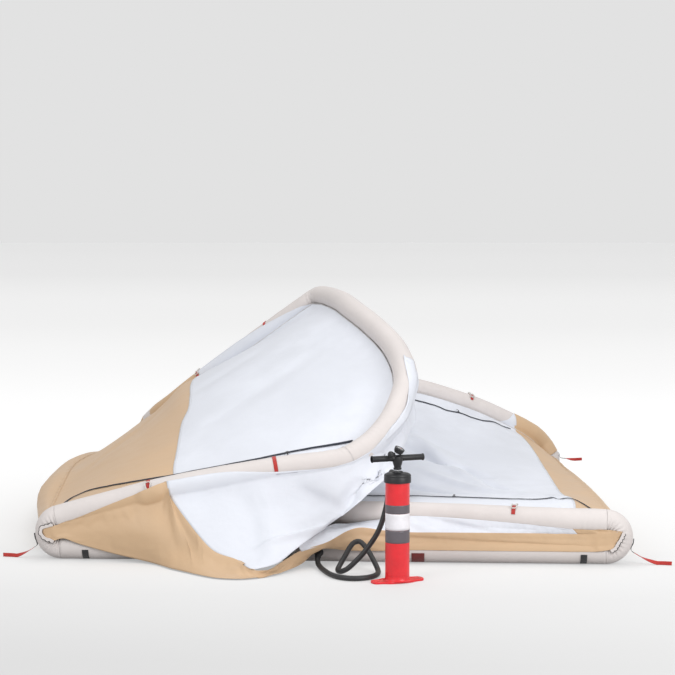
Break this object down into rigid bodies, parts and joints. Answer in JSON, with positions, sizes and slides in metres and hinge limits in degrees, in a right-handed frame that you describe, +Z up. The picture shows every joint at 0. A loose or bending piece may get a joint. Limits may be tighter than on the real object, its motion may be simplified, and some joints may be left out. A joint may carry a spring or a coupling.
{
  "type": "inflatable tent with hand pump",
  "caption": "Air-beam family tent half inflated, with leaning arches, slack cloth walls and zips, and a hand pump whose hose is plugged into its valve.",
  "frame": {"origin": "middle of the groundsheet's underside, on the ground", "axes": "+X along the tent's length to the low end, -Y towards the front where the pump stands, +Z up"},
  "size_m": [3.2797, 3.3399, 1.2214],
  "materials": {
    "groundsheet_fabric": "coated groundsheet, matt",
    "beam_fabric": "off-white polyester sleeve over an air tube",
    "tan_cloth": "tan polyester, soft sheen",
    "white_cloth": "white light-blocking polyester",
    "zip_tape": "dark zip tape",
    "zip_slider": "dark die-cast slider",
    "red_webbing": "woven red webbing",
    "black_webbing": "woven black webbing",
    "guy_cord": "braided pale cord",
    "black_plastic": "black moulded plastic",
    "grey_plastic": "grey moulded plastic",
    "red_plastic": "red moulded plastic, satin gloss",
    "pump_rod": "drawn tube, bright",
    "seal_rubber": "greased rubber ring",
    "hose_rubber": "black flexible hose",
    "gauge_glass": "clear lens"
  },
  "bodies": {
    "tent_base": {"groundsheet": "groundsheet_fabric", "ground_beam_front": "beam_fabric", "ground_beam_back": "beam_fabric", "corner_bend_front_left": "beam_fabric", "corner_bend_back_left": "beam_fabric", "corner_bend_front_right": "beam_fabric", "corner_bend_back_right": "beam_fabric", "end_skirt_left": "tan_cloth", "end_skirt_right": "tan_cloth", "front_drape_white": "white_cloth", "front_hem_tan": "tan_cloth", "front_strip_white": "white_cloth", "roof_white": "white_cloth", "back_wall_white": "white_cloth", "back_wall_tan": "tan_cloth", "strap_front_left": "black_webbing", "strap_front_right": "black_webbing", "patch_front": "red_webbing", "peg_strap_front_left": "black_webbing", "peg_strap_front_right": "black_webbing", "peg_strap_back_right": "black_webbing", "valve_body": "black_plastic", "hose_nozzle": "black_plastic", "pump_hose": "hose_rubber", "hose_port": "black_plastic", "pump_foot": "red_plastic", "pump_barrel": "red_plastic", "pump_cap": "black_plastic"},
    "arch_left": {"arch_beam_left": "beam_fabric", "end_wall_left_tan": "tan_cloth", "end_wall_left_white": "white_cloth", "zip_left": "zip_tape", "tab_left_crown": "red_webbing", "tab_left_back": "red_webbing", "tab_left_front": "red_webbing", "tab_left_middle": "red_webbing", "hank_left_back": "guy_cord", "hank_left_front": "guy_cord"},
    "arch_right": {"arch_beam_right": "beam_fabric", "end_wall_right_tan": "tan_cloth", "end_wall_right_white": "white_cloth", "zip_right_front": "zip_tape", "zip_right_back": "zip_tape", "tab_right_back": "red_webbing", "tab_right_front": "red_webbing", "hank_right_back": "guy_cord", "hank_right_front": "guy_cord"},
    "pump_plunger": {"pump_rod": "pump_rod", "pump_piston": "grey_plastic", "piston_seal": "seal_rubber", "handle_hub": "black_plastic", "handle_bar": "black_plastic", "gauge_case": "black_plastic", "gauge_lens": "gauge_glass"},
    "needle": {"gauge_needle": "red_plastic"},
    "knob": {"pressure_knob": "black_plastic"},
    "slider_left": {"zip_slider_left": "zip_slider"},
    "slider_right_front": {"zip_slider_right_front": "zip_slider"},
    "slider_right_back": {"zip_slider_right_back": "zip_slider"}
  },
  "joints": [
    {"name": "arch_left_lift", "type": "hinge", "parent": "tent_base", "child": "arch_left", "pos_m": [-1.272, 0, 0.128], "axis": [0, -1, 0], "range_deg": [0, 20], "deforming": ["corner_bend_front_left", "corner_bend_back_left", "end_skirt_left", "front_drape_white", "front_hem_tan", "roof_white", "back_wall_white", "back_wall_tan"]},
    {"name": "arch_right_lift", "type": "hinge", "parent": "tent_base", "child": "arch_right", "pos_m": [1.272, -1.35, 0.128], "axis": [-0.0481, 0.9988, 0], "range_deg": [0, 8], "deforming": ["corner_bend_front_right", "corner_bend_back_right", "end_skirt_right", "front_strip_white"]},
    {"name": "pump_stroke", "type": "slide", "parent": "tent_base", "child": "pump_plunger", "axis": [0, 0, 1], "range_m": [0, 0.34]},
    {"name": "needle_swing", "type": "hinge", "parent": "pump_plunger", "child": "needle", "pos_m": [0.31696, -1.80603, 0.5688], "axis": [0.4501, -0.1501, 0.8803], "range_deg": [0, 270], "stiffness_Nm_per_rad": 0.0002},
    {"name": "knob_turn", "type": "hinge", "parent": "pump_plunger", "child": "knob", "pos_m": [0.31696, -1.80603, 0.5668], "axis": [-0.5524, -0.8336, 0], "range_deg": [0, 180]},
    {"name": "slider_left_run", "type": "slide", "parent": "arch_left", "child": "slider_left", "axis": [0.9836, 0.0826, 0.1605], "range_m": [-0.03, 0.03]},
    {"name": "slider_right_front_run", "type": "slide", "parent": "arch_right", "child": "slider_right_front", "axis": [-0.9946, 0.1041, 0.0006], "range_m": [-0.03, 0.03]},
    {"name": "slider_right_back_run", "type": "slide", "parent": "arch_right", "child": "slider_right_back", "axis": [-0.9383, -0.1962, 0.2847], "range_m": [-0.03, 0.03]}
  ]
}
